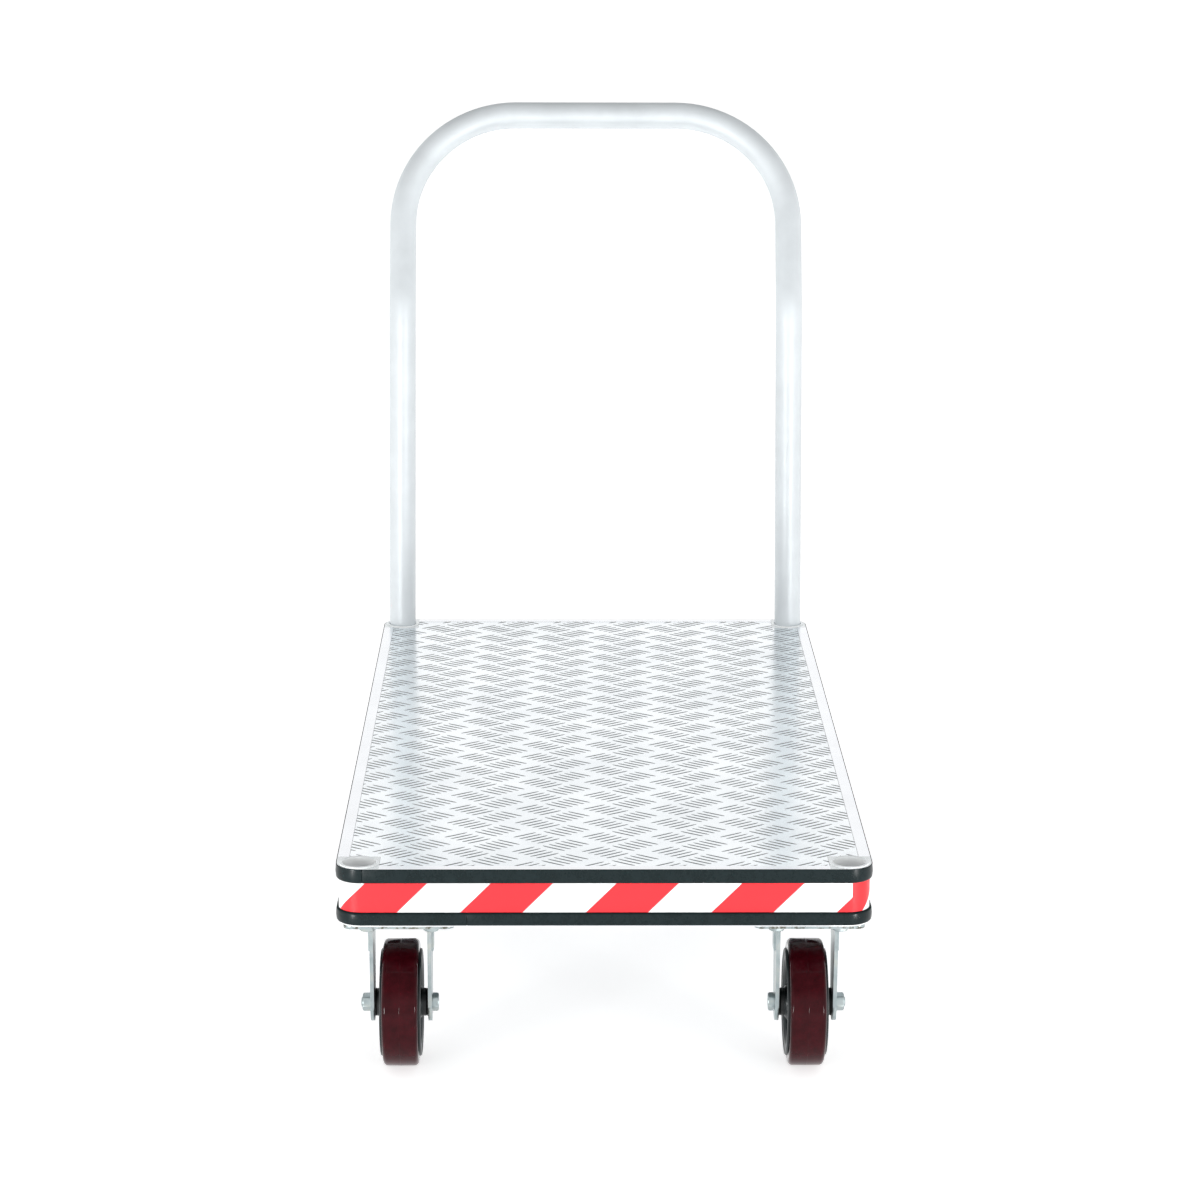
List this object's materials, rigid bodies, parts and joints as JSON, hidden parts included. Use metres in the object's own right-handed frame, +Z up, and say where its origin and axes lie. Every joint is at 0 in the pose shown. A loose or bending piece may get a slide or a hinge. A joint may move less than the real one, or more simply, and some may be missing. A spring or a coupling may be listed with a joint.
{
  "type": "flatbed platform truck",
  "caption": "Flat aluminium platform truck with bumpered deck, fixed and swivel casters and a lift-out bent tube handle.",
  "frame": {"origin": "on the floor, under the middle of the whole truck with its handle", "axes": "+X to the right, +Y along the deck towards the handle end, +Z up"},
  "size_m": [0.62, 1.319, 1.013],
  "materials": {
    "rail_aluminium": "satin extruded",
    "cast_aluminium": "fine cast",
    "tread_plate": "bright rolled, five-bar pattern",
    "handle_aluminium": "satin drawn tube",
    "zinc": "bright zinc plate",
    "bearing_steel": "ground",
    "bumper": "semi-gloss",
    "reflective_tape": "red and white diagonal stripes",
    "polyurethane": "glossy moulded",
    "wheel_core": "moulded, slight sheen",
    "seal_rubber": "matte"
  },
  "bodies": {
    "deck": {"caster_bolts": "zinc", "caster_nuts": "zinc", "caster_washers": "zinc", "corner_casting_front_left": "cast_aluminium", "corner_casting_front_right": "cast_aluminium", "corner_casting_rear_left": "cast_aluminium", "corner_casting_rear_right": "cast_aluminium", "cross_member_front": "rail_aluminium", "cross_member_middle_front": "rail_aluminium", "cross_member_middle_rear": "rail_aluminium", "cross_member_rear": "rail_aluminium", "frame_rivets": "rail_aluminium", "front_axle_bolts": "zinc", "front_axle_nuts": "zinc", "front_axle_sleeves": "zinc", "front_rail": "rail_aluminium", "kingpin_nuts": "zinc", "kingpins": "zinc", "lower_bumper": "bumper", "rear_rail": "rail_aluminium", "reflective_tape": "reflective_tape", "rigid_fork_left": "zinc", "rigid_fork_right": "zinc", "side_rail_left": "rail_aluminium", "side_rail_right": "rail_aluminium", "swivel_top_plate_left": "zinc", "swivel_top_plate_right": "zinc", "tread_plate": "tread_plate", "upper_bumper": "bumper"},
    "handle": {"handle_tube": "handle_aluminium"},
    "swivel_left": {"rear_axle_bolt_left": "zinc", "rear_axle_nut_left": "zinc", "rear_axle_sleeve_left": "zinc", "swivel_balls_left": "bearing_steel", "swivel_fork_left": "zinc"},
    "swivel_right": {"rear_axle_bolt_right": "zinc", "rear_axle_nut_right": "zinc", "rear_axle_sleeve_right": "zinc", "swivel_balls_right": "bearing_steel", "swivel_fork_right": "zinc"},
    "wheel_front_left": {"hub_seals_front_left": "seal_rubber", "wheel_bearing_front_left": "bearing_steel", "wheel_core_front_left": "wheel_core", "wheel_tread_front_left": "polyurethane"},
    "wheel_front_right": {"hub_seals_front_right": "seal_rubber", "wheel_bearing_front_right": "bearing_steel", "wheel_core_front_right": "wheel_core", "wheel_tread_front_right": "polyurethane"},
    "wheel_rear_left": {"hub_seals_rear_left": "seal_rubber", "wheel_bearing_rear_left": "bearing_steel", "wheel_core_rear_left": "wheel_core", "wheel_tread_rear_left": "polyurethane"},
    "wheel_rear_right": {"hub_seals_rear_right": "seal_rubber", "wheel_bearing_rear_right": "bearing_steel", "wheel_core_rear_right": "wheel_core", "wheel_tread_rear_right": "polyurethane"}
  },
  "joints": [
    {"name": "handle_lift", "type": "slide", "parent": "deck", "child": "handle", "axis": [0, 0, 1], "range_m": [0, 0.07]},
    {"name": "swivel_left_turn", "type": "hinge", "parent": "deck", "child": "swivel_left", "pos_m": [-0.237, 0.4855, 0.186], "axis": [0, 0, 1], "continuous": true},
    {"name": "swivel_right_turn", "type": "hinge", "parent": "deck", "child": "swivel_right", "pos_m": [0.237, 0.4855, 0.186], "axis": [0, 0, 1], "continuous": true},
    {"name": "wheel_front_left_spin", "type": "hinge", "parent": "deck", "child": "wheel_front_left", "pos_m": [-0.237, -0.5845, 0.075], "axis": [1, 0, 0], "continuous": true},
    {"name": "wheel_rear_left_spin", "type": "hinge", "parent": "swivel_left", "child": "wheel_rear_left", "pos_m": [-0.237, 0.4435, 0.075], "axis": [1, 0, 0], "continuous": true},
    {"name": "wheel_front_right_spin", "type": "hinge", "parent": "deck", "child": "wheel_front_right", "pos_m": [0.237, -0.5845, 0.075], "axis": [1, 0, 0], "continuous": true},
    {"name": "wheel_rear_right_spin", "type": "hinge", "parent": "swivel_right", "child": "wheel_rear_right", "pos_m": [0.237, 0.4435, 0.075], "axis": [1, 0, 0], "continuous": true}
  ]
}
